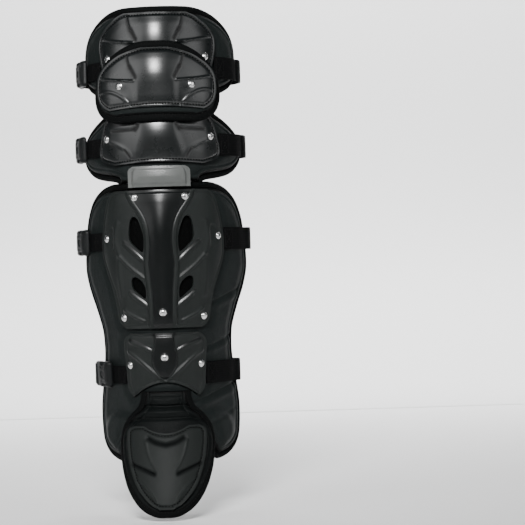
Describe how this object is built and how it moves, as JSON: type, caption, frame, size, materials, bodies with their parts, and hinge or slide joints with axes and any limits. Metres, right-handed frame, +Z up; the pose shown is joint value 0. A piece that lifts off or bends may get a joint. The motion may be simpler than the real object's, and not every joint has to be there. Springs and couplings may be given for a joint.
{
  "type": "catcher leg guard",
  "caption": "Black catcher leg guard for one leg, with overlapping knee cups, a vented shin plate, padded wings, an instep flap and buckled straps.",
  "frame": {"origin": "point of the shin pad's inner face that rests on the middle of the shin, on the guard's centre line", "axes": "+Z runs up the leg from ankle to knee, +Y runs backwards from the shin into the leg, so the shells face -Y, and +X is to the right of somebody who looks at the shells"},
  "size_m": [0.1982, 0.1973, 0.5603],
  "materials": {
    "pad_cloth": "dark coated cloth over foam, matt with a soft sheen",
    "binding_tape": "black rolled binding tape with a stitch line",
    "gloss_shell": "polished black moulded shell",
    "satin_shell": "satin dark grey moulded shell",
    "bridge_vinyl": "smooth grey coated panel",
    "rivet_metal": "bright nickel plated",
    "webbing": "black woven webbing and elastic",
    "buckle_plastic": "charcoal moulded plastic"
  },
  "bodies": {
    "root": {"upper_pad": "pad_cloth", "middle_pad": "pad_cloth", "lower_pad": "pad_cloth", "shin_pad": "pad_cloth", "flap_pad": "pad_cloth", "upper_binding": "binding_tape", "middle_binding": "binding_tape", "lower_binding": "binding_tape", "shin_binding": "binding_tape", "flap_binding": "binding_tape", "upper_cup": "gloss_shell", "middle_cup": "gloss_shell", "lower_cup": "gloss_shell", "knee_bridge": "bridge_vinyl", "shin_plate": "satin_shell", "ankle_plate": "satin_shell", "toe_cap": "satin_shell", "rivet_upper_left": "rivet_metal", "rivet_upper_right": "rivet_metal", "rivet_middle_left": "rivet_metal", "rivet_middle_right": "rivet_metal", "rivet_lower_left": "rivet_metal", "rivet_lower_right": "rivet_metal", "rivet_shin_top_left": "rivet_metal", "rivet_shin_top_right": "rivet_metal", "rivet_shin_mid_left": "rivet_metal", "rivet_shin_mid_right": "rivet_metal", "rivet_shin_low_left": "rivet_metal", "rivet_shin_low_right": "rivet_metal", "rivet_ankle_left": "rivet_metal", "rivet_ankle_right": "rivet_metal", "rivet_shin_centre": "rivet_metal", "rivet_ankle_centre": "rivet_metal", "strap_tab_knee": "webbing", "strap_loop_knee": "webbing", "buckle_socket_knee": "buckle_plastic", "buckle_plug_knee": "buckle_plastic", "strap_tab_calf_top": "webbing", "strap_loop_calf_top": "webbing", "buckle_socket_calf_top": "buckle_plastic", "buckle_plug_calf_top": "buckle_plastic", "strap_tab_calf": "webbing", "strap_loop_calf": "webbing", "buckle_socket_calf": "buckle_plastic", "buckle_plug_calf": "buckle_plastic", "strap_tab_ankle": "webbing", "strap_loop_ankle": "webbing", "buckle_socket_ankle": "buckle_plastic", "buckle_plug_ankle": "buckle_plastic"}
  },
  "joints": []
}
